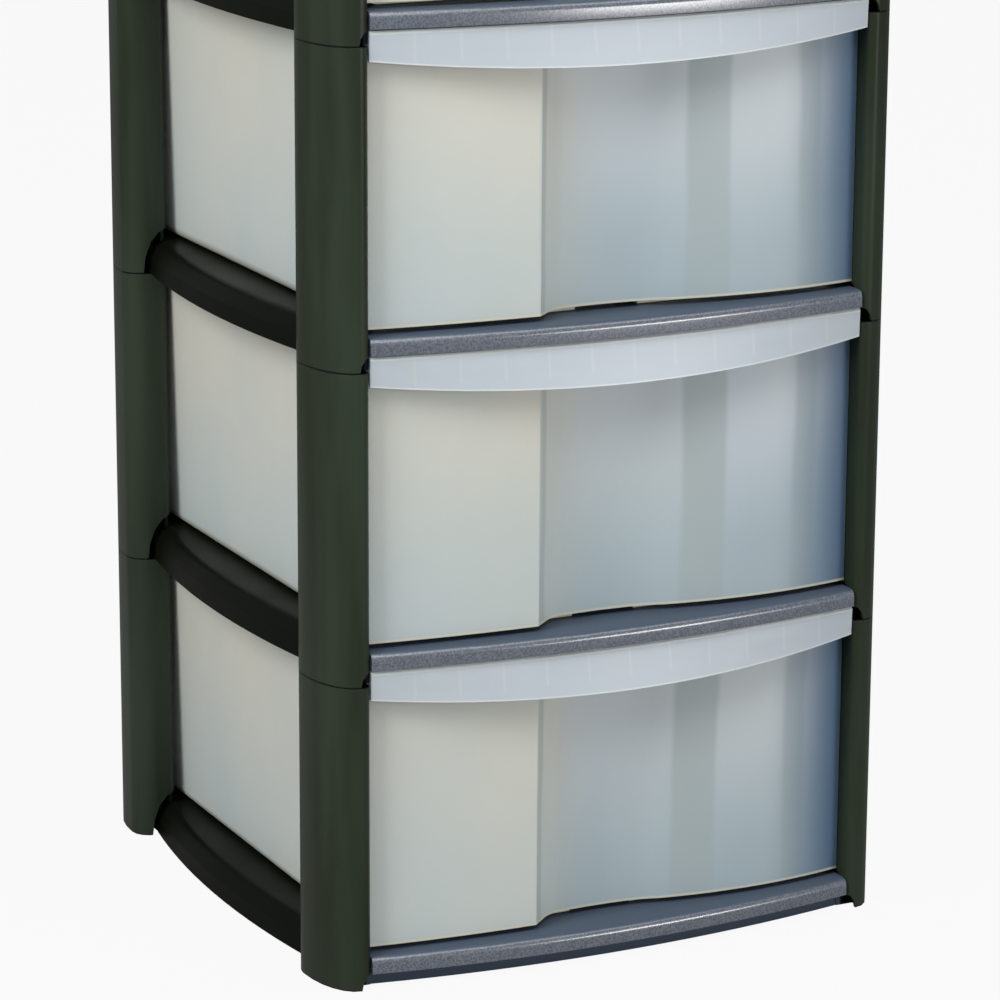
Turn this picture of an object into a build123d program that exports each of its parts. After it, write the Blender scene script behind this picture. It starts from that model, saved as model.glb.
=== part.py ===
from build123d import *
from math import cos, radians, sin
import os

# A plastic drawer tower: four translucent drawers on dark shelves, carried by hollow
# corner posts that stack one tier on the next. Millimetres, +Z up, +X to the right of
# somebody facing the drawers, +Y to the back. The origin is on the floor, at the middle
# of the whole tower's plan.

# ---------------------------------------------------------------- driving dimensions
TIERS = 4                # drawers in the tower
TIER_PITCH = 200.0       # from one post joint to the next
TOWER_WIDTH = 402.0      # outside of the left posts to outside of the right posts
TOWER_DEPTH = 394.0      # front of the front posts to back of the back posts

POST_WIDTH = 28.0        # across the front of a post
POST_DEPTH = 60.0        # along the side of a post
POST_WALL = 2.4
CORNER_X = 21.0          # the post's outer corner is a quarter of an oval
CORNER_Y = 44.0
CURL_RADIUS = 13.0       # the side of a post curls in to its end face
FRONT_CURL = 5.0         # the front of a post curls in to the drawer opening
CORNER_FLATS = 6         # short flats round each of these three, few enough to stay light
CURL_FLATS = 4
FRONT_FLATS = 3
INNER_ROUND = 4.0        # the post's inner corner
NOSE_FLAT = 2.0          # the post's hollow is flat-sided, with this cut at its front

ARCH_REACH = 17.5        # arch in a post's end face, over the side rail
ARCH_HEIGHT = 30.0
TUNNEL_MIDDLE = 20.0     # arch in a post's inner face, over the deck's tongue
TUNNEL_REACH = 18.0
TUNNEL_HEIGHT = 25.0
RELIEF_WIDTH = 7.0       # rounded relief in a post's front face, beside the lip
RELIEF_HEIGHT = 9.6

FIT = 0.3                # clearance wherever one moulding goes into or beside another
PLUG_WALL = 2.0
PLUG_UP = 32.0           # length of a corner plug inside the post above
PLUG_DOWN = 6.0          # and inside the post below
PLUG_FIN = 16.5          # from the post's side to the plug's upright fin
TONGUE_WIDTH = 22.0      # tongue that joins the deck to a corner plug
TONGUE_HEIGHT = 17.0

DECK_TOP = 21.0          # top of a shelf above its post joint
DECK_WALL = 2.6
LIP_BOW = 16.0           # the lip stands this far forward at the middle
LIP_UNDER = 10.0         # underside of the lip above the post joint
LIP_ROUND = 4.5
SKIRT_SET = 10.0         # the skirt under the lip is this far behind it
SKIRT_WALL = 2.4
RAIL_WALL = 2.4
RAIL_ROUND = 11.0        # width of the rail's rounded edge
RAIL_FOOT = 15.0         # from the post's side to the rail's foot at its ends
RAIL_BOW = 11.0          # and the rail bellies out this much more at its middle
RAIL_STRIP = 16.0        # strip of deck behind the rail's rounded edge
RAIL_TAIL = 6.0          # a rail's end reaches this far into each post
BACK_SET = 6.0           # the shelf's back edge is this far inside the posts
RIB_WALL = 1.6
RIB_DEPTH = 8.5
RIBS_ACROSS = 2
RIBS_ALONG = 2
RIDGE_HEIGHT = 12.0      # the ridge at the back of a deck stops the closed drawer
RIDGE_WALL = 2.4

SIDE_GAP = 0.5           # drawer front to post, each side
TOP_GAP = 1.0            # drawer pull to the lip above it
FLOOR_WALL = 2.2
SIDE_WALL = 2.0
FRONT_WALL = 2.6
TRAY_FOOT_SET = 36.0     # from the post's side to the drawer's side, at its floor
TRAY_DRAFT = 4.5         # the drawer is this much wider each side at its rim
TRAY_ROUND = 8.0         # along the tray's bottom edges
TRAY_BACK_GAP = 0.5      # back of the closed drawer to the deck's ridge
RIM_DROP = 4.0           # drawer rim below the skirt of the shelf above
RIM_WIDTH = 2.2
RIM_WALL = 2.0
FRONT_LIFT = 3.6         # the bowed front ends this far above the deck
FOOT_SET = 24.0          # the drawer floor's front edge, behind the posts' front
NOTCH_WIDTH = 44.0       # notch in the middle of that edge
NOTCH_DEPTH = 14.0

WAVE_LEFT = 11.0         # the front's left end, behind the posts' front
WAVE_FULL = 4.5          # the middle of the proud left field
WAVE_STEP = 1.5          # the right end of that field, where the step begins
WAVE_FALL = 11.2         # the foot of the step
WAVE_TURN = 17.2         # where the step turns into the scoop
WAVE_RISE = 17.3         # where the scoop turns into the right field
WAVE_FLANK = 12.4        # the right field's left end
WAVE_CROWN = 6.3         # the crown of the right field
WAVE_RIGHT = 13.8        # its right end
STEP_AT = -57.0          # where these lie, from the middle of the front
FALL_AT = -46.5
TURN_AT = -33.0
RISE_AT = 15.0
FLANK_AT = 38.0
CROWN_AT = 104.0

PULL_WALL = 2.4
PULL_TOP_SET = 1.7       # top of the pull at its ends, behind the posts' front
PULL_TOP_BOW = 15.0
PULL_FOOT_SET = 2.3      # its lower edge at the ends, behind the posts' front
PULL_FOOT_BOW = 20.7
PULL_END_DROP = 18.6     # height of the pull at its ends
PULL_MIDDLE_DROP = 28.1  # and at its middle
PULL_EASE = 1.2          # the pull's top edge is eased this much
WEB_WALL = 2.4           # the web that joins the pull to the front
GUSSETS = 11             # upright gussets behind the pull, above and below its web
GUSSET_PITCH = 29.0
GUSSET_WALL = 1.2
GUSSET_DEPTH = 4.2
GUSSET_DROP = 4.0

LUG_LENGTH = 12.0        # stop lugs on the drawer's rim
LUG_WIDTH = 5.5
LUG_HEIGHT = 9.5
LUG_TO_BACK = 100.0      # from the drawer's back to the lugs' front face

# ---------------------------------------------------------------- derived dimensions
PULL_REACH = PULL_FOOT_BOW - PULL_FOOT_SET
FRONT_REACH = max(PULL_REACH, LIP_BOW)
FRONT_Y = FRONT_REACH / 2 - TOWER_DEPTH / 2
BACK_Y = FRONT_Y + TOWER_DEPTH
SIDE_X = TOWER_WIDTH / 2
OPENING = TOWER_WIDTH - 2 * POST_WIDTH
SHELF_HALF = OPENING / 2 - FIT
RAIL_FRONT = FRONT_Y + POST_DEPTH
RAIL_BACK = BACK_Y - POST_DEPTH
DECK_BACK = BACK_Y - BACK_SET
RIDGE_Y = DECK_BACK - RIDGE_WALL
DRAWER_HALF = OPENING / 2 - SIDE_GAP
FLOOR_Z = DECK_TOP + FIT
FRONT_Z = DECK_TOP + FRONT_LIFT
RIM_Z = TIER_PITCH - RIM_DROP
TRAY_LEAN = TRAY_DRAFT * (1 - (RIDGE_HEIGHT - FIT) / (RIM_Z - FLOOR_Z))
DRAWER_BACK = RIDGE_Y - TRAY_BACK_GAP + TRAY_LEAN
PULL_TOP_Z = TIER_PITCH + LIP_UNDER - TOP_GAP
LUG_FRONT = DRAWER_BACK - LUG_TO_BACK
LUG_TRAVEL = LUG_FRONT - (FRONT_Y + SKIRT_SET + SKIRT_WALL)


def block(x0, x1, y0, y1, z0, z1):
    """A solid box between two corners."""
    size = (x1 - x0, y1 - y0, z1 - z0)
    middle = ((x0 + x1) / 2, (y0 + y1) / 2, (z0 + z1) / 2)
    return Pos(*middle) * Box(*size)


def slab(face, z0, z1):
    """A plan face drawn on the XY plane, extruded between two heights."""
    return Pos(0, 0, z0) * extrude(face, z1 - z0)


def bowed_arc(half, y, bow):
    """A plan arc between two ends at y, bowed forwards in the middle."""
    return ThreePointArc((-half, y), (0, y - bow), (half, y))


def quarter_oval(across, up, flats):
    """Points round a quarter of an oval in short flats, from its side to its top."""
    turns = [radians(90 * k / flats) for k in range(flats + 1)]
    return [(across * cos(turn), up * sin(turn)) for turn in turns]


def half_oval(across, up, flats):
    """An arch's face: a half oval that stands on its base line."""
    right = quarter_oval(across, up, flats)
    left = [(-x, y) for x, y in reversed(right[:-1])]
    return make_face(Polyline(*right, *left, close=True))


def four_corners(part):
    """A front left piece, repeated at the four corners of the tower."""
    middle = Plane.XZ.offset(-(FRONT_Y + BACK_Y) / 2)
    left = [part, part.mirror(middle)]
    return left + [piece.mirror(Plane.YZ) for piece in left]


# ---------------------------------------------------------------- posts
def post_outline():
    """The front left post's outline seen from above."""
    corner = quarter_oval(CORNER_X, CORNER_Y, CORNER_FLATS)
    nose = quarter_oval(FRONT_CURL, FRONT_CURL, FRONT_FLATS)
    curl = quarter_oval(CURL_RADIUS, CURL_RADIUS, CURL_FLATS)
    heel = INNER_ROUND
    points = [(CORNER_X - x, CORNER_Y - y) for x, y in corner]
    points += [(POST_WIDTH - FRONT_CURL + x, FRONT_CURL - y) for x, y in reversed(nose)]
    points += [(POST_WIDTH, POST_DEPTH - heel), (POST_WIDTH - heel, POST_DEPTH)]
    points += [(CURL_RADIUS - x, POST_DEPTH - CURL_RADIUS + y) for x, y in reversed(curl)]
    return Pos(-SIDE_X, FRONT_Y) * make_face(Polyline(*points, close=True))


def post_hollow(gap):
    """The flat-sided hollow of a post, drawn in by gap for what fits into it."""
    wall = POST_WALL + gap
    right = POST_WIDTH - wall
    back = POST_DEPTH - wall
    corner = quarter_oval(CORNER_X - wall, CORNER_Y - wall, 2)
    curl = quarter_oval(CURL_RADIUS - wall, CURL_RADIUS - wall, 2)
    points = [(CORNER_X - x, CORNER_Y - y) for x, y in corner]
    points += [(right - NOSE_FLAT, wall), (right, wall + NOSE_FLAT)]
    points += [(right, back - 1), (right - 1, back)]
    points += [(CURL_RADIUS - x, POST_DEPTH - CURL_RADIUS + y) for x, y in reversed(curl)]
    return Pos(-SIDE_X, FRONT_Y) * make_face(Polyline(*points, close=True))


def rail_arch():
    """Cutter for the arch in a post's end face, through which the side rail runs."""
    inner = -SIDE_X + POST_WIDTH
    plane = Plane((inner, RAIL_FRONT + FIT, 0), x_dir=(-1, 0, 0), z_dir=(0, 1, 0))
    arch = plane * half_oval(ARCH_REACH, ARCH_HEIGHT, 4)
    return extrude(arch, -RAIL_TAIL - PLUG_WALL)


def tongue_arch():
    """Cutter for the arch in a post's inner face, through which the deck's tongue runs."""
    inner = -SIDE_X + POST_WIDTH
    middle = FRONT_Y + TUNNEL_MIDDLE
    plane = Plane((inner + FIT, middle, 0), x_dir=(0, 1, 0), z_dir=(1, 0, 0))
    arch = plane * half_oval(TUNNEL_REACH, TUNNEL_HEIGHT, 3)
    return extrude(arch, -POST_WALL - PLUG_WALL)


def lip_relief():
    """Cutter for the rounded relief in a post's front face, beside the end of the lip."""
    inner = -SIDE_X + POST_WIDTH
    plane = Plane((inner, FRONT_Y - FIT, 0), x_dir=(-1, 0, 0), z_dir=(0, 1, 0))
    arch = plane * half_oval(RELIEF_WIDTH, RELIEF_HEIGHT, 3)
    return extrude(arch, POST_WALL + FRONT_CURL)


def post():
    """The front left post of the lowest tier: a tube with arched lower ends."""
    tube = slab(post_outline(), 0, TIER_PITCH) - slab(post_hollow(0), 0, TIER_PITCH)
    return tube - rail_arch() - tongue_arch() - lip_relief()


# ---------------------------------------------------------------- shelves
def bowed_ring(section, half, bow):
    """A section, whose X is the distance in front of an arc, swept round that arc. The arc
    runs along X through the origin, and is bow deep between its ends at half to each side."""
    radius = (half**2 + bow**2) / (2 * bow)
    upright = Plane((0, radius, 0), x_dir=(0, -1, 0), z_dir=(-1, 0, 0))
    placed = upright * Pos(radius, 0) * section
    return revolve(placed, Axis((0, radius, 0), (0, 0, 1)), 360)


def rail_section():
    """The side rail's section: a thin rounded edge that curls down from a strip of deck."""
    low = DECK_TOP - DECK_WALL
    rear = -RAIL_ROUND - RAIL_STRIP
    outer = [(x - RAIL_ROUND, y) for x, y in quarter_oval(RAIL_ROUND, DECK_TOP, 3)]
    inner = [(-RAIL_WALL, 0), (-RAIL_WALL * 1.8, low / 2), (-RAIL_ROUND, low)]
    return make_face(Polyline(*outer, (rear, DECK_TOP), (rear, low), *reversed(inner), close=True))


def side_rail():
    """The left side rail, which bellies out between its two posts and ends inside them."""
    half = (RAIL_BACK - RAIL_FRONT) / 2
    ring = bowed_ring(rail_section(), half, RAIL_BOW)
    middle = (RAIL_FRONT + RAIL_BACK) / 2
    foot = -SIDE_X + RAIL_FOOT - RAIL_BOW
    ring = Pos(foot, middle, 0) * Rot(0, 0, -90) * ring
    inside = -SHELF_HALF + SKIRT_WALL
    clear = ring & block(-SIDE_X, inside, RAIL_FRONT, RAIL_BACK, 0, DECK_TOP)
    reach = half + RAIL_TAIL
    return clear + (ring & block(-SIDE_X, -SHELF_HALF - FIT, middle - reach, middle + reach, 0, DECK_TOP))


def front_lip(reach):
    """The bowed lip with its rounded nose, and the skirt set back under it."""
    rear = -SKIRT_SET - SKIRT_WALL
    under = [(rear, 0), (-SKIRT_SET, 0), (-SKIRT_SET, LIP_UNDER), (0, LIP_UNDER)]
    nose = [(x - LIP_ROUND, DECK_TOP - LIP_ROUND + y) for x, y in quarter_oval(LIP_ROUND, LIP_ROUND, 3)]
    section = make_face(Polyline(*under, *nose, (rear, DECK_TOP), close=True))
    ring = Pos(0, FRONT_Y - LIP_BOW, 0) * bowed_ring(section, OPENING / 2, LIP_BOW)
    return ring & block(-reach, reach, FRONT_Y - LIP_BOW, FRONT_Y + 2 * SKIRT_SET, 0, DECK_TOP)


def deck_plan():
    """The deck from above, between the posts and bowed in front."""
    front = bowed_arc(SHELF_HALF, FRONT_Y + SKIRT_SET, LIP_BOW)
    ends = [(SHELF_HALF, FRONT_Y + SKIRT_SET), (SHELF_HALF, DECK_BACK)]
    far = [(-x, y) for x, y in reversed(ends)]
    return make_face(Curve() + [front, Polyline(*ends, *far)])


def deck_ribs():
    """The lattice of ribs under the deck, clear of the drawer below."""
    low = DECK_TOP - DECK_WALL - RIB_DEPTH
    high = DECK_TOP - DECK_WALL / 2
    front = FRONT_Y + SKIRT_SET + SKIRT_WALL
    ribs = []
    for k in range(RIBS_ACROSS):
        y = front + (DECK_BACK - front) * (k + 1) / (RIBS_ACROSS + 1)
        ribs.append(block(-SHELF_HALF, SHELF_HALF, y, y + RIB_WALL, low, high))
    for k in range(RIBS_ALONG):
        x = OPENING * ((k + 1) / (RIBS_ALONG + 1) - 0.5)
        ribs.append(block(x, x + RIB_WALL, FRONT_Y, DECK_BACK - RIDGE_WALL / 2, low, high))
    return ribs


def deck(lip_reach):
    """The deck plate with its lip, side rails, back skirt, post-side skirts and ribs."""
    plate = slab(deck_plan(), DECK_TOP - DECK_WALL, DECK_TOP)
    back = block(-SHELF_HALF, SHELF_HALF, DECK_BACK - SKIRT_WALL, DECK_BACK, 0, DECK_TOP)
    body = plate + front_lip(lip_reach) + side_rail() + side_rail().mirror(Plane.YZ) + back
    inner = SHELF_HALF - SKIRT_WALL
    front = FRONT_Y + SKIRT_SET
    for x in (-SHELF_HALF, inner):
        body += block(x, x + SKIRT_WALL, front, RAIL_FRONT, 0, DECK_TOP)
        body += block(x, x + SKIRT_WALL, RAIL_BACK, DECK_BACK, 0, DECK_TOP)
    for rib in deck_ribs():
        body += rib
    return body


def corner_plug(up, down):
    """The front left corner plug: an upright fin, and the tongue that ties it to the deck."""
    inner = -SIDE_X + POST_WIDTH
    middle = FRONT_Y + TUNNEL_MIDDLE
    fin_x = -SIDE_X + PLUG_FIN
    half = TONGUE_WIDTH / 2
    fin = block(fin_x, fin_x + PLUG_WALL, FRONT_Y, RAIL_FRONT, -down, up)
    tongue = block(fin_x, inner + FIT + SKIRT_WALL, middle - half, middle + half, 0, TONGUE_HEIGHT)
    return (fin & slab(post_hollow(FIT), -down, up)) + tongue


def corner_cap():
    """A corner of the top cover, which closes the post below it."""
    inner = -SIDE_X + POST_WIDTH
    strip = block(-SIDE_X + CORNER_X, inner + FIT, FRONT_Y, RAIL_FRONT, 0, DECK_TOP)
    return slab(post_outline(), 0, DECK_TOP) + strip


def shelf(above):
    """One shelf, with plugs up into the posts above it and, above the floor, down too."""
    top = DECK_TOP + RIDGE_HEIGHT
    ridge = block(-SHELF_HALF, SHELF_HALF, RIDGE_Y, RIDGE_Y + RIDGE_WALL, DECK_TOP - DECK_WALL, top)
    body = deck(SHELF_HALF) + ridge
    for plug in four_corners(corner_plug(PLUG_UP, PLUG_DOWN if above else 0)):
        body += plug
    return body


def top_cover():
    """The cover: a deck whose lip runs into four corner caps, with plugs down only."""
    body = deck(OPENING / 2 + FIT)
    for piece in four_corners(corner_cap()) + four_corners(corner_plug(TONGUE_HEIGHT, PLUG_DOWN)):
        body += piece
    return body


# ---------------------------------------------------------------- drawers
def wave(y):
    """The front's plan curve: a proud left field, a step, a scoop and a bowed right field."""
    half_way = (STEP_AT - DRAWER_HALF) / 2
    field = ThreePointArc((-DRAWER_HALF, y + WAVE_LEFT), (half_way, y + WAVE_FULL), (STEP_AT, y + WAVE_STEP))
    step = Line(field @ 1, (FALL_AT, y + WAVE_FALL))
    turn = TangentArc(step @ 1, (TURN_AT, y + WAVE_TURN), tangent=step % 1)
    scoop = TangentArc(turn @ 1, (RISE_AT, y + WAVE_RISE), tangent=turn % 1)
    flank = TangentArc(scoop @ 1, (FLANK_AT, y + WAVE_FLANK), tangent=scoop % 1)
    right = ThreePointArc(flank @ 1, (CROWN_AT, y + WAVE_CROWN), (DRAWER_HALF, y + WAVE_RIGHT))
    return [field, step, turn, scoop, flank, right]


def behind_wave(z0, z1):
    """Everything behind the middle of the front's wall."""
    y = FRONT_Y + FRONT_WALL / 2
    back = DRAWER_BACK + TRAY_ROUND
    sides = Polyline(
        (-DRAWER_HALF, y + WAVE_LEFT),
        (-DRAWER_HALF, back),
        (DRAWER_HALF, back),
        (DRAWER_HALF, y + WAVE_RIGHT),
    )
    return slab(make_face(Curve() + wave(y) + [sides]), z0, z1)


def wave_wall():
    """The bowed front itself."""
    front = wave(FRONT_Y)
    rear = wave(FRONT_Y + FRONT_WALL)
    left = Line((-DRAWER_HALF, FRONT_Y + WAVE_LEFT), (-DRAWER_HALF, FRONT_Y + WAVE_LEFT + FRONT_WALL))
    right = Line((DRAWER_HALF, FRONT_Y + WAVE_RIGHT), (DRAWER_HALF, FRONT_Y + WAVE_RIGHT + FRONT_WALL))
    return slab(make_face(Curve() + front + rear + [left, right]), FRONT_Z, RIM_Z)


def tray_solid(inset, z0, z1):
    """The tray's drafted outside, or its inside when drawn in by the wall."""
    slope = TRAY_DRAFT / (RIM_Z - FLOOR_Z)
    set_out = slope * (z1 - FLOOR_Z) - inset
    half = SIDE_X - TRAY_FOOT_SET + set_out
    front = FRONT_Y - LIP_BOW
    back = DRAWER_BACK - TRAY_DRAFT + set_out
    lean = slope * (z1 - z0)
    width = 2 * half
    depth = back - front
    wedge = Wedge(width, z1 - z0, depth, lean, 0, width - lean, depth - lean, align=Align.MIN)
    wedge = Pos(-half, front, z1) * Rot(-90, 0, 0) * wedge
    low = wedge.edges().group_by(Axis.Z)[0].sort_by(Axis.Y)[1:]
    return chamfer(low, TRAY_ROUND / 2) if inset else fillet(low, TRAY_ROUND)


def tray():
    """The open tray: floor, drafted sides and back, stepped under the bowed front."""
    outside = tray_solid(0, FLOOR_Z, RIM_Z)
    inside = tray_solid(SIDE_WALL, FLOOR_Z + FLOOR_WALL, RIM_Z + 1)
    keep = behind_wave(FRONT_Z, RIM_Z + 1)
    keep += block(-SIDE_X, SIDE_X, FRONT_Y + FOOT_SET, BACK_Y, 0, FRONT_Z)
    half = SIDE_X - TRAY_FOOT_SET
    foot = FRONT_Y + FOOT_SET
    ledge = block(-half, half, FRONT_Y, foot + FLOOR_WALL, FRONT_Z, FRONT_Z + FLOOR_WALL)
    riser = block(-half + TRAY_ROUND, half - TRAY_ROUND, foot, foot + FLOOR_WALL, FLOOR_Z, FRONT_Z)
    shell = (outside - inside + ledge + riser) & keep
    notch_half = NOTCH_WIDTH / 2
    notch_back = foot + NOTCH_DEPTH
    notch = block(-notch_half, notch_half, FRONT_Y, notch_back, 0, FRONT_Z)
    frame_half = notch_half + FLOOR_WALL
    frame_back = notch_back + FLOOR_WALL
    frame_low = FRONT_Z - FLOOR_WALL
    frame = block(-frame_half, frame_half, foot, frame_back, frame_low, FRONT_Z + FLOOR_WALL)
    return shell + frame - notch


def tray_rim():
    """The narrow rim along the tray's sides and back."""
    low = RIM_Z - RIM_WALL
    half = SIDE_X - TRAY_FOOT_SET + TRAY_DRAFT
    outer = half + RIM_WIDTH
    inner = half - SIDE_WALL / 2
    plate = block(-outer, outer, FRONT_Y, DRAWER_BACK, low, RIM_Z)
    hole = block(-inner, inner, FRONT_Y - LIP_BOW, DRAWER_BACK - SIDE_WALL, low, RIM_Z)
    return (plate - hole) & behind_wave(low, RIM_Z)


def pull_section(x):
    """The pull's section at x: a leaning strip with an eased top, deepest at the middle."""
    s = 1 - (x / DRAWER_HALF) ** 2
    top = FRONT_Y + PULL_TOP_SET - PULL_TOP_BOW * s
    foot = FRONT_Y + PULL_FOOT_SET - PULL_FOOT_BOW * s
    low = PULL_TOP_Z - PULL_END_DROP - (PULL_MIDDLE_DROP - PULL_END_DROP) * s
    plane = Plane((x, 0, 0), x_dir=(0, 1, 0), z_dir=(1, 0, 0))
    corners = [
        (foot, low),
        (top, PULL_TOP_Z - PULL_EASE),
        (top + PULL_EASE, PULL_TOP_Z),
        (top + PULL_WALL, PULL_TOP_Z),
        (foot + PULL_WALL, low),
    ]
    return plane * make_face(Polyline(*corners, close=True))


def pull_gusset(x):
    """An upright gusset at x, between the pull and the web behind it."""
    s = 1 - (x / DRAWER_HALF) ** 2
    top = FRONT_Y + PULL_TOP_SET - PULL_TOP_BOW * s + PULL_WALL / 2
    foot = FRONT_Y + PULL_FOOT_SET - PULL_FOOT_BOW * s + PULL_WALL / 2
    rear = top + PULL_WALL / 2 + GUSSET_DEPTH
    low = RIM_Z - WEB_WALL - GUSSET_DROP
    lean = (top - foot) / (PULL_MIDDLE_DROP - (PULL_MIDDLE_DROP - PULL_END_DROP) * (1 - s))
    near = top - lean * (PULL_TOP_Z - low)
    corners = [(near, low), (top, PULL_TOP_Z - PULL_WALL), (rear, PULL_TOP_Z - PULL_WALL), (rear, low)]
    plane = Plane((x - GUSSET_WALL / 2, 0, 0), x_dir=(0, 1, 0), z_dir=(1, 0, 0))
    return extrude(plane * make_face(Polyline(*corners, close=True)), GUSSET_WALL)


def pull():
    """The full-width pull: the leaning strip, the web behind it and its gussets."""
    strip = loft([pull_section(s * DRAWER_HALF) for s in (-1, 0, 1)])
    y = FRONT_Y + (PULL_TOP_SET + PULL_FOOT_SET + PULL_WALL) / 2
    front = bowed_arc(DRAWER_HALF, y, (PULL_TOP_BOW + PULL_FOOT_BOW) / 2)
    rear = FRONT_Y + FRONT_WALL / 2
    left = Line((-DRAWER_HALF, y), (-DRAWER_HALF, rear + WAVE_LEFT))
    right = Line((DRAWER_HALF, y), (DRAWER_HALF, rear + WAVE_RIGHT))
    web = slab(make_face(Curve() + [front, left, right] + wave(rear)), RIM_Z - WEB_WALL, RIM_Z)
    body = strip + web
    for k in range(GUSSETS):
        body += pull_gusset((k - (GUSSETS - 1) / 2) * GUSSET_PITCH)
    return body


def stop_lug():
    """The left lug on the rim, which meets the skirt above when the drawer is fully out."""
    x0 = -SIDE_X + TRAY_FOOT_SET - TRAY_DRAFT
    low = RIM_Z - RIM_WALL
    return block(x0, x0 + LUG_WIDTH, LUG_FRONT, LUG_FRONT + LUG_LENGTH, low, RIM_Z + LUG_HEIGHT)


def drawer():
    """The drawer of the lowest tier, in one moulding."""
    return tray() + wave_wall() + tray_rim() + pull() + stop_lug() + stop_lug().mirror(Plane.YZ)


# ---------------------------------------------------------------- the tower
def save(part, name):
    export_step(part, f"parts/{name}.step")


os.makedirs("parts", exist_ok=True)

save(shelf(above=False), "base_shelf")
middle_shelf = shelf(above=True)
for level in range(1, TIERS):
    save(Pos(0, 0, level * TIER_PITCH) * middle_shelf, f"shelf_{level}")
save(Pos(0, 0, TIERS * TIER_PITCH) * top_cover(), "top_cover")

corner_names = ["front_left", "back_left", "front_right", "back_right"]
for corner, corner_post in zip(corner_names, four_corners(post())):
    for tier in range(TIERS):
        save(Pos(0, 0, tier * TIER_PITCH) * corner_post, f"post_{corner}_{tier + 1}")

one_drawer = drawer()
for tier in range(TIERS):
    save(Pos(0, 0, tier * TIER_PITCH) * one_drawer, f"drawer_{tier + 1}")

print("stop lug travel", round(LUG_TRAVEL, 1))
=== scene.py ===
import math

import bmesh
import bpy
from mathutils import Matrix, Vector


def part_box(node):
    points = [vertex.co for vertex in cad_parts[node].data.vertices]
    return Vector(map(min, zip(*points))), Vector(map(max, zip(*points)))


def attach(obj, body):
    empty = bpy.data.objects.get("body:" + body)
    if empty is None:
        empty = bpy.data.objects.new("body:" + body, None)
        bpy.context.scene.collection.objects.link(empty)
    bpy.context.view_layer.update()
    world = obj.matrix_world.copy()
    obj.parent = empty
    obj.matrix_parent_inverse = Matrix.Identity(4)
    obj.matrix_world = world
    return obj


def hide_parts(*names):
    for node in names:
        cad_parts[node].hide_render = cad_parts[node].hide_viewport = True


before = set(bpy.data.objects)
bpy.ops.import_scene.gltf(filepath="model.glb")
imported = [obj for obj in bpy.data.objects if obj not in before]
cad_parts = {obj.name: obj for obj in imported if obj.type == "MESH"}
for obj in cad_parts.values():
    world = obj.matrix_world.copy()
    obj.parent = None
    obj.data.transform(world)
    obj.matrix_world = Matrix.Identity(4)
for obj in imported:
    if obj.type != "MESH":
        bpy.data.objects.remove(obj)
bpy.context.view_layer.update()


# ---------------------------------------------------------------- corner posts
# Sixteen hollow tubes in dark polypropylene, seated end to end at the tower's corners.
# They have a satin skin from the mould, faint upright flow lines, and a fine dark line where
# one tube seats on the next.

def add_node(tree, kind, inputs=None, **settings):
    """A shader node with its settings made and its inputs set or linked."""
    made = tree.nodes.new(kind)
    for key, value in settings.items():
        setattr(made, key, value)
    for key, value in (inputs or {}).items():
        if isinstance(value, bpy.types.NodeSocket):
            tree.links.new(value, made.inputs[key])
        else:
            made.inputs[key].default_value = value
    return made


def math_node(tree, operation, *values):
    """The result of one sum on numbers or sockets."""
    inputs = dict(enumerate(values))
    return add_node(tree, "ShaderNodeMath", inputs, operation=operation).outputs[0]


def ramp_between(tree, value, low, high):
    """0 below low, 1 above high, and smooth in between."""
    inputs = {"Value": value, "From Min": low, "From Max": high}
    made = add_node(tree, "ShaderNodeMapRange", inputs, interpolation_type="SMOOTHSTEP")
    return made.outputs["Result"]


def falling_between(tree, value, low, high):
    """1 below low, 0 above high, and smooth in between."""
    return math_node(tree, "SUBTRACT", 1.0, ramp_between(tree, value, low, high))


def product(tree, *values):
    """All the values multiplied together."""
    result = values[0]
    for value in values[1:]:
        result = math_node(tree, "MULTIPLY", result, value)
    return result


def mix_colour(tree, factor, low, high):
    """The colour between low and high, which are colours or sockets."""
    made = add_node(tree, "ShaderNodeMix", data_type="RGBA")
    sockets = (made.inputs[0], made.inputs[6], made.inputs[7])     # factor, A and B for colours
    for socket, value in zip(sockets, (factor, low, high)):
        if isinstance(value, bpy.types.NodeSocket):
            tree.links.new(value, socket)
        else:
            socket.default_value = value
    return made.outputs[2]


def new_group(name, inputs, outputs):
    """An empty shader group with named sockets, and its two ends."""
    group = bpy.data.node_groups.new(name, "ShaderNodeTree")
    for label, kind in inputs:
        group.interface.new_socket(label, in_out="INPUT", socket_type=kind)
    for label, kind in outputs:
        group.interface.new_socket(label, in_out="OUTPUT", socket_type=kind)
    start = group.nodes.new("NodeGroupInput")
    end = group.nodes.new("NodeGroupOutput")
    return group, start.outputs, end.inputs


def use_group(tree, group, inputs):
    """A group placed in a material, with its values."""
    made = tree.nodes.new("ShaderNodeGroup")
    made.node_tree = group
    for key, value in inputs.items():
        if isinstance(value, bpy.types.NodeSocket):
            tree.links.new(value, made.inputs[key])
        else:
            made.inputs[key].default_value = value
    return made.outputs


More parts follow.
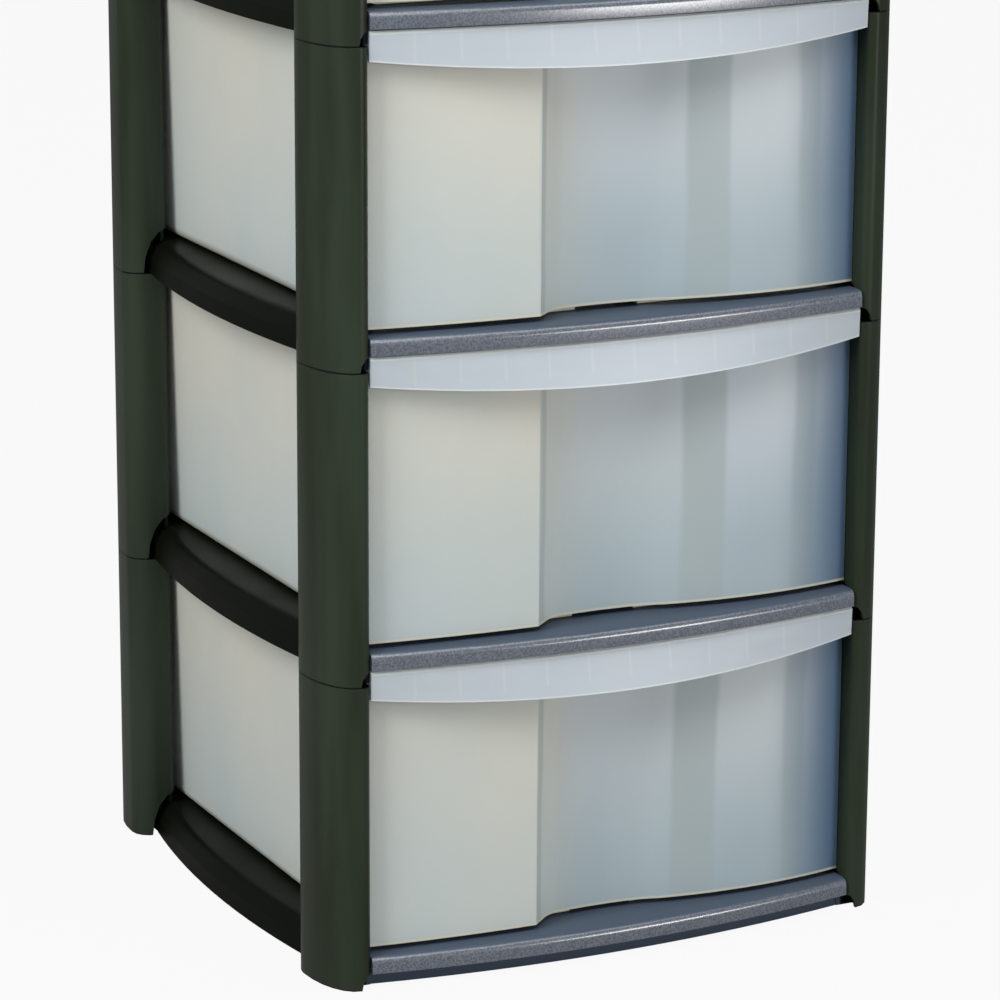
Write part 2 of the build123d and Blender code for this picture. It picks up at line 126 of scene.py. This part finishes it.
def make_mould_skin():
    """Fine skin that a spark-eroded mould leaves: a height, and flecks of the same grain."""
    group, given, result = new_group(
        "mould_skin",
        [("Place", "NodeSocketVector"), ("Cells per Metre", "NodeSocketFloat")],
        [("Height", "NodeSocketFloat"), ("Fleck", "NodeSocketFloat")],
    )
    cells = add_node(
        group,
        "ShaderNodeTexVoronoi",
        {
            "Vector": given["Place"],
            "Scale": given["Cells per Metre"],
            "Smoothness": CELL_SMOOTHNESS,
        },
        feature="SMOOTH_F1",
    )
    pits = add_node(
        group,
        "ShaderNodeTexNoise",
        {"Vector": given["Place"], "Scale": given["Cells per Metre"], "Detail": 2.0},
    )
    pit = pits.outputs["Fac"]
    height = math_node(group, "MULTIPLY_ADD", pit, PIT_SHARE, cells.outputs["Distance"])
    group.links.new(height, result["Height"])
    group.links.new(ramp_between(group, pit, *FLECK_RANGE), result["Fleck"])
    return group


def make_slow_mottle():
    """Broad cloudy change, stretched along Z, as plastic gets when it flows into the mould."""
    group, given, result = new_group(
        "slow_mottle",
        [
            ("Place", "NodeSocketVector"),
            ("Clouds per Metre", "NodeSocketFloat"),
            ("Upright", "NodeSocketFloat"),
        ],
        [("Amount", "NodeSocketFloat")],
    )
    stretch = add_node(group, "ShaderNodeCombineXYZ", {"X": 1.0, "Y": 1.0, "Z": given["Upright"]})
    squeezed = add_node(
        group,
        "ShaderNodeVectorMath",
        {0: given["Place"], 1: stretch.outputs[0]},
        operation="MULTIPLY",
    )
    clouds = add_node(
        group,
        "ShaderNodeTexNoise",
        {"Vector": squeezed.outputs[0], "Scale": given["Clouds per Metre"], "Detail": 3.0},
    )
    group.links.new(ramp_between(group, clouds.outputs["Fac"], *CLOUD_RANGE), result["Amount"])
    return group


def make_tier_place():
    """Where a point is: across, deep, and how high above the joint at the foot of its tier."""
    group, given, result = new_group(
        "tier_place",
        [("Place", "NodeSocketVector"), ("Start", "NodeSocketFloat")],
        [
            ("Across", "NodeSocketFloat"),
            ("Deep", "NodeSocketFloat"),
            ("High", "NodeSocketFloat"),
        ],
    )
    parts = add_node(group, "ShaderNodeSeparateXYZ", {"Vector": given["Place"]})
    raised = math_node(group, "SUBTRACT", parts.outputs["Z"], given["Start"])
    folded = math_node(group, "FLOORED_MODULO", raised, TIER_PITCH)
    group.links.new(parts.outputs["X"], result["Across"])
    group.links.new(parts.outputs["Y"], result["Deep"])
    group.links.new(math_node(group, "ADD", folded, given["Start"]), result["High"])
    return group


def start_material(name):
    """A material with its Principled shader and a Texture Coordinate node."""
    material = bpy.data.materials.new(name)
    material.use_nodes = True
    tree = material.node_tree
    shader = tree.nodes["Principled BSDF"]
    place = add_node(tree, "ShaderNodeTexCoord").outputs["Object"]
    return material, tree, shader, place


def bump_from(tree, shader, height, distance, strength=1.0):
    """A bump of that depth in metres on the shader's normal."""
    inputs = {"Height": height, "Distance": distance, "Strength": strength}
    bump = add_node(tree, "ShaderNodeBump", inputs)
    tree.links.new(bump.outputs["Normal"], shader.inputs["Normal"])


def eased_copy(node, material, width):
    """A node's mesh with rounds shaded smooth, hard edges eased, and its material on it."""
    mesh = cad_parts[node].data.copy()
    shape = bmesh.new()
    shape.from_mesh(mesh)
    bmesh.ops.remove_doubles(shape, verts=shape.verts, dist=SAME_POINT)
    bmesh.ops.dissolve_limit(
        shape, angle_limit=math.radians(SAME_PLANE), verts=shape.verts, edges=shape.edges)
    wide = [face for face in shape.faces if len(face.verts) > 4]     # filled safely when split
    bmesh.ops.triangulate(shape, faces=wide)
    shape.to_mesh(mesh)
    shape.free()
    mesh.materials.clear()
    mesh.materials.append(material)
    mesh.shade_smooth()
    mesh.set_sharp_from_angle(angle=math.radians(ROUND_STEP))
    made = bpy.data.objects.new(node + "_moulding", mesh)
    bpy.context.scene.collection.objects.link(made)
    bevel = made.modifiers.new("ease", "BEVEL")
    bevel.width = width
    bevel.segments = EASE_SEGMENTS
    bevel.limit_method = "ANGLE"
    bevel.angle_limit = math.radians(ROUND_STEP)
    bevel.use_clamp_overlap = True
    normals = made.modifiers.new("even", "WEIGHTED_NORMAL")
    normals.keep_sharp = True
    bpy.context.view_layer.update()
    depsgraph = bpy.context.evaluated_depsgraph_get()
    finished = bpy.data.meshes.new_from_object(made.evaluated_get(depsgraph))
    made.modifiers.clear()
    made.data = finished
    return made


def dress(nodes, material, width):
    """Eased copies stand in for those nodes, on the same bodies."""
    for name in nodes:
        piece = eased_copy(name, material, width)
        body = name + "_body" if name.startswith("drawer_") else "frame"
        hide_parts(name)
        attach(piece, body)


def names_from(*starts):
    """The frame's nodes whose names start so, in order."""
    return sorted(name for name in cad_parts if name.startswith(starts))


SAME_POINT = 0.00001     # metres
SAME_PLANE = 0.5         # degrees
ROUND_STEP = 42.0        # degrees: flats that meet at less belong to one round
EASE_SEGMENTS = 2
DARK_EASE = 0.0004       # metres that a hard edge of the dark mouldings is eased

CELL_SMOOTHNESS = 0.6    # how rounded the mould's cells are
PIT_SHARE = 0.5          # height of the pits against the cells
FLECK_RANGE = (0.35, 0.65)
CLOUD_RANGE = (0.3, 0.7)

post_low, post_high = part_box("post_front_left_1")
TIER_PITCH = round(post_high.z - post_low.z, 4)

POST_DARK = (0.0145, 0.0205, 0.0100, 1.0)
POST_LIGHT = (0.0290, 0.0410, 0.0270, 1.0)
POST_SEAM = (0.002, 0.002, 0.002, 1.0)
POST_SPECULAR = 0.2
POST_ROUGHNESS = 0.3
SEAM_HALF = (0.0003, 0.0008)     # the dark line at a joint fades out between these, in metres
SEAM_DEPTH = -12.0               # against the height of the skin
POST_SKIN_DEPTH = 0.00004        # metres

mould_skin = make_mould_skin()
slow_mottle = make_slow_mottle()
tier_place = make_tier_place()

post_plastic, tree, shader, place = start_material("post_plastic")
streaks = {"Place": place, "Clouds per Metre": 30.0, "Upright": 0.12}
clouds = use_group(tree, slow_mottle, streaks)["Amount"]
skin = use_group(tree, mould_skin, {"Place": place, "Cells per Metre": 2200.0})
where = use_group(tree, tier_place, {"Place": place, "Start": -TIER_PITCH / 2})
from_seam = math_node(tree, "ABSOLUTE", where["High"])
seam = falling_between(tree, from_seam, *SEAM_HALF)
green = mix_colour(tree, clouds, POST_DARK, POST_LIGHT)
tree.links.new(mix_colour(tree, seam, green, POST_SEAM), shader.inputs["Base Color"])
cloudy = math_node(tree, "MULTIPLY_ADD", clouds, 0.05, POST_ROUGHNESS)
roughness = math_node(tree, "MULTIPLY_ADD", skin["Fleck"], 0.05, cloudy)
tree.links.new(roughness, shader.inputs["Roughness"])
shader.inputs["Specular IOR Level"].default_value = POST_SPECULAR
groove = math_node(tree, "MULTIPLY_ADD", seam, SEAM_DEPTH, skin["Height"])
bump_from(tree, shader, groove, POST_SKIN_DEPTH)
dress(names_from("post_"), post_plastic, DARK_EASE)


# ---------------------------------------------------------------- shelves and top cover
# Dark polypropylene decks with a leather grain on the bowed front lip and a smooth,
# glossier top. Corner plugs hold them in the posts, and their side rails belly out.
# The lip is painted greyer than the rest, partly for its grain and partly as painted
# sheen, and a painted sheen lies on the deck in front of each drawer.

SHELF_BLACK = (0.004, 0.005, 0.003, 1.0)
# A painted sheen for the lit deck in front of each drawer, not the deck's own colour
PAINTED_DECK_SHEEN = (0.070, 0.092, 0.130, 1.0)
# The lip's grain colours: flecks of the grain, raised paler as a painted sheen of the lamps on
# the lip
SHELF_GRAIN_SHEEN_LOW = (0.066, 0.078, 0.104, 1.0)
SHELF_GRAIN_SHEEN_HIGH = (0.130, 0.148, 0.185, 1.0)
SHELF_SPECULAR = 0.045
SHELF_ROUGHNESS = 0.30
LIP_SHEEN_ROUGHNESS = 0.25
LIP_SHEEN_IOR = 1.9
SHELF_SKIN_DEPTH = 0.00010       # metres
FINE_SHARE = 0.12                # height of the fine skin against the leather grain

tower_top = round(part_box("post_front_left_4")[1].z, 4)
deck_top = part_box("top_cover")[1].z - tower_top
drawer_low, drawer_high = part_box("drawer_1")
SHELF_START = -0.03              # a tier's shelf begins this far under the joint, in metres
LIP_BACK = (-0.180, -0.176)      # across this the lip's grain fades into the deck
LIP_FOOT = (0.0088, 0.0098)
LIP_TOP = (deck_top - 0.0014, deck_top - 0.0003)
DECK_SHEEN_BACK = (-0.174, -0.140)    # painted sheen: the deck in front of a closed drawer is lit, and is painted greyer
COVER_START = tower_top + 0.01   # but the cover gets no painted sheen
RAIL_START = (drawer_high.x, drawer_high.x + 0.002)

shelf_plastic, tree, shader, place = start_material("shelf_plastic")
where = use_group(tree, tier_place, {"Place": place, "Start": SHELF_START})
grain = use_group(tree, mould_skin, {"Place": place, "Cells per Metre": 750.0})
fine = use_group(tree, mould_skin, {"Place": place, "Cells per Metre": 2600.0})
broad = {"Place": place, "Clouds per Metre": 14.0, "Upright": 1.0}
clouds = use_group(tree, slow_mottle, broad)["Amount"]

in_front = falling_between(tree, where["Deep"], *LIP_BACK)
below_top = falling_between(tree, where["High"], *LIP_TOP)
above_foot = ramp_between(tree, where["High"], *LIP_FOOT)
lip = product(tree, in_front, below_top, above_foot)

between_rails = falling_between(tree, math_node(tree, "ABSOLUTE", where["Across"]), *RAIL_START)
over_floor = add_node(tree, "ShaderNodeSeparateXYZ", {"Vector": place}).outputs["Z"]
under_cover = math_node(tree, "LESS_THAN", over_floor, COVER_START)
# Painted sheen: the deck in front of each closed drawer, between the rails and under the cover,
# is painted greyer
deck_sheen_depth = falling_between(tree, where["Deep"], *DECK_SHEEN_BACK)
painted_deck_sheen = product(tree, deck_sheen_depth, between_rails, under_cover)

plain = mix_colour(tree, painted_deck_sheen, SHELF_BLACK, PAINTED_DECK_SHEEN)
# Painted sheen: the lip is paler than the plain plastic, partly grain and partly painted sheen
grain_and_sheen = mix_colour(tree, grain["Fleck"], SHELF_GRAIN_SHEEN_LOW, SHELF_GRAIN_SHEEN_HIGH)
tree.links.new(mix_colour(tree, lip, plain, grain_and_sheen), shader.inputs["Base Color"])
satin = math_node(tree, "MULTIPLY_ADD", clouds, 0.08, SHELF_ROUGHNESS)
tree.links.new(math_node(tree, "MULTIPLY_ADD", lip, 0.12, satin), shader.inputs["Roughness"])
shader.inputs["Specular IOR Level"].default_value = SHELF_SPECULAR
shader.inputs["Coat Roughness"].default_value = LIP_SHEEN_ROUGHNESS
shader.inputs["Coat IOR"].default_value = LIP_SHEEN_IOR
tree.links.new(lip, shader.inputs["Coat Weight"])
coarse = product(tree, grain["Height"], lip)
height = math_node(tree, "MULTIPLY_ADD", fine["Height"], FINE_SHARE, coarse)
bump_from(tree, shader, height, SHELF_SKIN_DEPTH)
dress(names_from("base_shelf", "shelf_", "top_cover"), shelf_plastic, DARK_EASE)


# ---------------------------------------------------------------- drawers
# One-piece frosted trays that slide on the decks. The proud left field is warmer, the
# scoop and the right field cooler, and the pull is bluer where its wall is doubled.
# Shade is painted on each front: darker towards its foot, in soft upright bands, and
# bluish at its right end. The pull's edges and the gussets behind it get painted highlights.
# The skin is smooth outside, and light goes through the walls.

FROST_WARM = (0.80, 0.79, 0.70, 1.0)
FROST_COOL = (0.62, 0.70, 0.70, 1.0)
# The right field's colours at the foot and at the head: the difference is painted shade
FROST_FIELD = (0.45, 0.56, 0.61, 1.0)
FROST_FIELD_UP = (0.72, 0.785, 0.835, 1.0)
FROST_BAND_SHADE = (0.45, 0.52, 0.52, 1.0)
FROST_RIGHT_SHADE = (0.12, 0.20, 0.31, 1.0)
FROST_PULL = (0.57, 0.63, 0.69, 1.0)
FROST_PAINTED_HIGHLIGHT = (0.86, 0.89, 0.88, 1.0)
FROST_FOOT = (0.84, 0.82, 0.62, 1.0)
FROST_ROUGHNESS = 0.36
FROST_TRANSMISSION = 0.22
FROST_IOR = 1.45
FROST_SKIN_DEPTH = 0.00002       # metres
PALE_EASE = 0.0003               # metres that a hard edge of a drawer is eased

DRAWER_START = drawer_low.z - 0.0001
FRONT_BACK = (-0.165, -0.155)    # the colours of the front end here, in metres from the middle
RIGHTWARDS = (-0.058, 0.0)       # from the step to the scoop
FOOT_SHADE_SPAN = (0.04, 0.17)         # painted shade, fading from foot to head of the front, above the joint
# Painted shade bands across the front: left, right and fade, in metres
SHADE_BANDS = [(-0.056, -0.047, 0.003), (0.048, 0.083, 0.005), (0.128, 0.15, 0.006)]
BAND_WAVER = 0.006
RIGHT_SHADE_SPAN = (0.115, 0.176)
FOOT_LINE = (0.0256, 0.0268)
PULL_FOOT_MIDDLE = 0.1809        # lower edge of the pull at its middle, above the joint
PULL_FOOT_RISE = 0.0095          # and it is this much higher at its ends
PULL_FOOT_FADE = 0.0004
PULL_FOOT_EDGE = (0.0004, 0.0016)
PULL_TOP_EDGE = (0.0062 + TIER_PITCH, 0.0072 + TIER_PITCH)
GUSSET_PITCH = 0.029
GUSSETS_HALF = 0.16
GUSSET_LINE = (0.0005, 0.0014)
GUSSET_FOOT = (0.187, 0.192)


def make_painted_shade_bands():
    """Painted shade across the front: soft darker upright bands, and a bluish painted shade at
    the right end.
    """
    group, given, result = new_group(
        "painted_shade_bands",
        [("Across", "NodeSocketFloat"), ("Waver", "NodeSocketFloat")],
        [("Band Shade", "NodeSocketFloat"), ("Blue", "NodeSocketFloat")],
    )
    across = math_node(group, "MULTIPLY_ADD", given["Waver"], BAND_WAVER, given["Across"])
    grey = None
    for left, right, fade in SHADE_BANDS:
        rise = ramp_between(group, across, left, left + fade)
        fall = falling_between(group, across, right - fade, right)
        band = product(group, rise, fall)
        grey = band if grey is None else math_node(group, "MAXIMUM", grey, band)
    group.links.new(grey, result["Band Shade"])
    group.links.new(ramp_between(group, across, *RIGHT_SHADE_SPAN), result["Blue"])
    return group


painted_shade_bands = make_painted_shade_bands()

frosted_plastic, tree, shader, place = start_material("frosted_plastic")
where = use_group(tree, tier_place, {"Place": place, "Start": DRAWER_START})
mottle = {"Place": place, "Clouds per Metre": 9.0, "Upright": 0.6}
clouds = use_group(tree, slow_mottle, mottle)["Amount"]
broad = {"Place": place, "Clouds per Metre": 4.0, "Upright": 1.0}
waver = use_group(tree, slow_mottle, broad)["Amount"]
skin = use_group(tree, mould_skin, {"Place": place, "Cells per Metre": 1500.0})
bands = use_group(tree, painted_shade_bands, {"Across": where["Across"], "Waver": waver})
on_front = falling_between(tree, where["Deep"], *FRONT_BACK)

# The wall: warm at the left and cooler to the right, and painted shade makes it cooler and darker
# towards the foot.
rightwards = ramp_between(tree, where["Across"], *RIGHTWARDS)
foot_shade = falling_between(tree, where["High"], *FOOT_SHADE_SPAN)
cloudy = math_node(tree, "MULTIPLY_ADD", clouds, 0.35, product(tree, foot_shade, 0.6))
tone = mix_colour(tree, cloudy, FROST_WARM, FROST_COOL)
field = mix_colour(tree, foot_shade, FROST_FIELD_UP, FROST_FIELD)
patchy = math_node(tree, "MULTIPLY_ADD", clouds, -0.3, 1.0)
tone = mix_colour(tree, product(tree, rightwards, on_front, patchy), tone, field)
# Painted shade: soft darker upright bands across the front
tone = mix_colour(tree, product(tree, bands["Band Shade"], on_front, 0.6), tone, FROST_BAND_SHADE)
# Painted shade: bluish and darker towards the front's right end
tone = mix_colour(tree, product(tree, bands["Blue"], on_front), tone, FROST_RIGHT_SHADE)
foot = falling_between(tree, where["High"], *FOOT_LINE)
tone = mix_colour(tree, product(tree, foot, 0.7), tone, FROST_FOOT)

# The pull: its lower edge is a smile, and both edges get a painted highlight.
share = math_node(tree, "DIVIDE", where["Across"], drawer_high.x)
smile = math_node(
    tree, "MULTIPLY_ADD", product(tree, share, share), PULL_FOOT_RISE, PULL_FOOT_MIDDLE)
over_smile = math_node(tree, "SUBTRACT", where["High"], smile)
pull = product(tree, ramp_between(tree, over_smile, -PULL_FOOT_FADE, 0.0), on_front)
pull_tone = mix_colour(tree, product(tree, clouds, 0.35), FROST_PULL, FROST_COOL)
tone = mix_colour(tree, pull, tone, pull_tone)
foot_edge = falling_between(tree, over_smile, *PULL_FOOT_EDGE)
top_edge = ramp_between(tree, where["High"], *PULL_TOP_EDGE)
edge = math_node(tree, "MAXIMUM", foot_edge, top_edge)
# Painted highlight along the pull's top and foot edges
tone = mix_colour(tree, product(tree, edge, pull, 0.6), tone, FROST_PAINTED_HIGHLIGHT)

# Painted highlights: faint paler lines where the gussets behind it show through.
from_gusset = math_node(tree, "PINGPONG", where["Across"], GUSSET_PITCH / 2)
gusset = falling_between(tree, from_gusset, *GUSSET_LINE)
inside = math_node(tree, "LESS_THAN", math_node(tree, "ABSOLUTE", where["Across"]), GUSSETS_HALF)
high_enough = ramp_between(tree, where["High"], *GUSSET_FOOT)
gusset = product(tree, gusset, inside, high_enough, pull)
tone = mix_colour(tree, product(tree, gusset, 0.16), tone, FROST_PAINTED_HIGHLIGHT)

tree.links.new(tone, shader.inputs["Base Color"])
roughness = math_node(tree, "MULTIPLY_ADD", skin["Fleck"], 0.04, FROST_ROUGHNESS)
tree.links.new(roughness, shader.inputs["Roughness"])
shader.inputs["Transmission Weight"].default_value = FROST_TRANSMISSION
shader.inputs["IOR"].default_value = FROST_IOR
bump_from(tree, shader, skin["Height"], FROST_SKIN_DEPTH)
dress(names_from("drawer_"), frosted_plastic, PALE_EASE)


# ---------------------------------------------------------------- floor, lamps and camera
# A white floor that the tower stands on, broad lamps in front, at both sides and overhead,
# and a long lens a little above the middle drawer.

def plain_sheet(name, corners):
    """One flat quad."""
    mesh = bpy.data.meshes.new(name)
    mesh.from_pydata(corners, [], [(0, 1, 2, 3)])
    made = bpy.data.objects.new(name, mesh)
    bpy.context.scene.collection.objects.link(made)
    return made


FLOOR_HALF = 6.0         # metres
FLOOR_GREY = (0.3, 0.3, 0.3, 1.0)
FLOOR_WHITE = 0.93       # what the camera sees is mostly plain white, the rest keeps the shadow
WORLD_LIGHT = 0.31
WHITE = (1.0, 1.0, 1.0, 1.0)


def seen_by_camera(tree):
    """1 for rays that come from the camera, straight or through the frosted plastic."""
    rays = add_node(tree, "ShaderNodeLightPath").outputs
    return math_node(tree, "MAXIMUM", rays["Is Camera Ray"], rays["Is Transmission Ray"])


floor = plain_sheet("floor", [
    (-FLOOR_HALF, -FLOOR_HALF, 0),
    (FLOOR_HALF, -FLOOR_HALF, 0),
    (FLOOR_HALF, FLOOR_HALF, 0),
    (-FLOOR_HALF, FLOOR_HALF, 0),
])
floor_paint, tree, shader, place = start_material("floor_paint")
shader.inputs["Base Color"].default_value = FLOOR_GREY
shader.inputs["Roughness"].default_value = 0.9
white = add_node(tree, "ShaderNodeEmission", {"Color": WHITE, "Strength": 1.0})
share = product(tree, seen_by_camera(tree), FLOOR_WHITE)
mixed = add_node(
    tree, "ShaderNodeMixShader", {0: share, 1: shader.outputs[0], 2: white.outputs[0]})
tree.links.new(mixed.outputs[0], tree.nodes["Material Output"].inputs["Surface"])
floor.data.materials.append(floor_paint)

world = bpy.data.worlds.new("studio")
bpy.context.scene.world = world
world.use_nodes = True
tree = world.node_tree
tree.nodes.clear()
strength = math_node(
    tree, "MULTIPLY_ADD", seen_by_camera(tree), 1.0 - WORLD_LIGHT, WORLD_LIGHT)
sky = add_node(tree, "ShaderNodeBackground", {"Color": WHITE, "Strength": strength})
add_node(tree, "ShaderNodeOutputWorld", {"Surface": sky.outputs[0]})


def add_lamp(name, place, target, size, power):
    """A broad square-cornered lamp that faces a point. Metres and watts."""
    data = bpy.data.lights.new(name, "AREA")
    data.shape = "RECTANGLE"
    data.size, data.size_y = size
    data.energy = power
    lamp = bpy.data.objects.new(name, data)
    bpy.context.scene.collection.objects.link(lamp)
    lamp.rotation_mode = "QUATERNION"
    lamp.rotation_quaternion = (Vector(place) - Vector(target)).to_track_quat("Z", "Y")
    lamp.location = place


add_lamp("front_lamp", (-0.5, -1.45, 2.1), (0.0, 0.0, 0.6), (1.6, 1.0), 10.5)
add_lamp("left_lamp", (-2.4, -0.9, 1.9), (0.0, 0.0, 0.6), (1.2, 1.6), 60.0)
add_lamp("top_lamp", (0.3, -0.6, 3.0), (0.0, 0.0, 0.6), (2.4, 2.4), 32.0)
add_lamp("right_lamp", (1.4, -2.6, 0.7), (0.0, 0.0, 0.7), (0.9, 0.5), 23.0)

PICTURE_PIXELS = 1000
FOCAL_PIXELS = 4286.6
YAW, PITCH, ROLL = math.radians(25.953), math.radians(14.786), math.radians(-0.286)
CAMERA_AT = (-1.21447, -2.50793, 0.99165)

lens = bpy.data.cameras.new("photo_camera")
lens.sensor_width = 36.0
lens.lens = FOCAL_PIXELS / PICTURE_PIXELS * lens.sensor_width
lens.clip_end = 30.0
camera = bpy.data.objects.new("photo_camera", lens)
bpy.context.scene.collection.objects.link(camera)
turn = (
    Matrix.Rotation(-YAW, 3, "Z")
    @ Matrix.Rotation(math.pi / 2 - PITCH, 3, "X")
    @ Matrix.Rotation(-ROLL, 3, "Z")
)
camera.matrix_world = Matrix.Translation(CAMERA_AT) @ turn.to_4x4()
bpy.context.scene.camera = camera
bpy.context.scene.view_settings.view_transform = "Standard"
